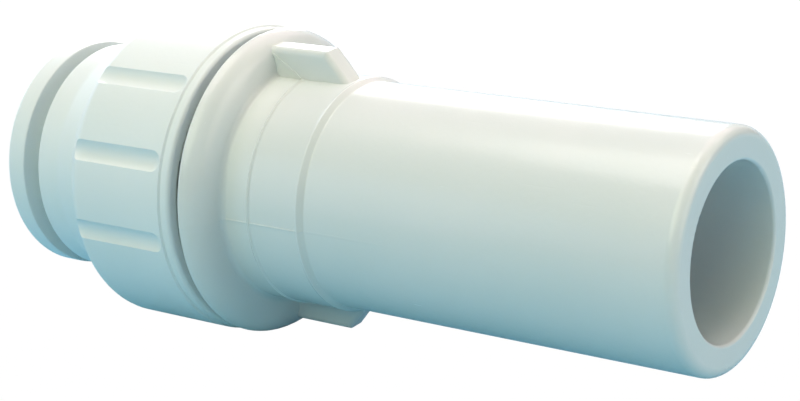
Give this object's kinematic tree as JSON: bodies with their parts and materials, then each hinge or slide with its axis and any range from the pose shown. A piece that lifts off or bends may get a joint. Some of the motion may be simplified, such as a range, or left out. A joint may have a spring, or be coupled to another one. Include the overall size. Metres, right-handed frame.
{
  "type": "push to connect fitting",
  "caption": "Straight push-fit pipe reducer: a plain plastic stem on one end and a push-fit tube socket with a fluted twist-to-lock screw cap on the other.",
  "frame": {"origin": "on the fitting's axis, at the shoulder in the socket that stops the tube", "axes": "+X along the axis, out of the free end of the stem; the two key lugs stand along +Z and -Z; the grip flutes are centred on +Y and -Y"},
  "size_m": [0.0761, 0.0306, 0.0306],
  "materials": {
    "body_plastic": "semi-gloss white moulded acetal",
    "cap_plastic": "semi-gloss white moulded acetal",
    "collet_plastic": "semi-gloss white moulded acetal",
    "washer_plastic": "satin white moulded plastic",
    "seal_rubber": "satin black rubber",
    "tooth_steel": "stamped stainless steel"
  },
  "bodies": {
    "fitting_body": {"body": "body_plastic", "o_ring": "seal_rubber"},
    "washer": {"spacer_washer": "washer_plastic"},
    "cap": {"screw_cap": "cap_plastic"},
    "collet_group": {"collet": "collet_plastic", "tooth_1": "tooth_steel", "tooth_2": "tooth_steel", "tooth_3": "tooth_steel", "tooth_4": "tooth_steel", "tooth_5": "tooth_steel", "tooth_6": "tooth_steel", "tooth_7": "tooth_steel", "tooth_8": "tooth_steel"}
  },
  "joints": [
    {"name": "cap_advance", "type": "slide", "parent": "fitting_body", "child": "washer", "axis": [1, 0, 0], "range_m": [0, 0.0012]},
    {"name": "cap_twist", "type": "hinge", "parent": "washer", "child": "cap", "pos_m": [0, 0, 0], "axis": [1, 0, 0], "range_deg": [0, 90]},
    {"name": "collet_press", "type": "slide", "parent": "washer", "child": "collet_group", "axis": [1, 0, 0], "range_m": [0, 0.0017]}
  ],
  "couplings": [
    {"joint": "cap_advance", "follows": "cap_twist", "m_per_rad": 0.00070028}
  ]
}
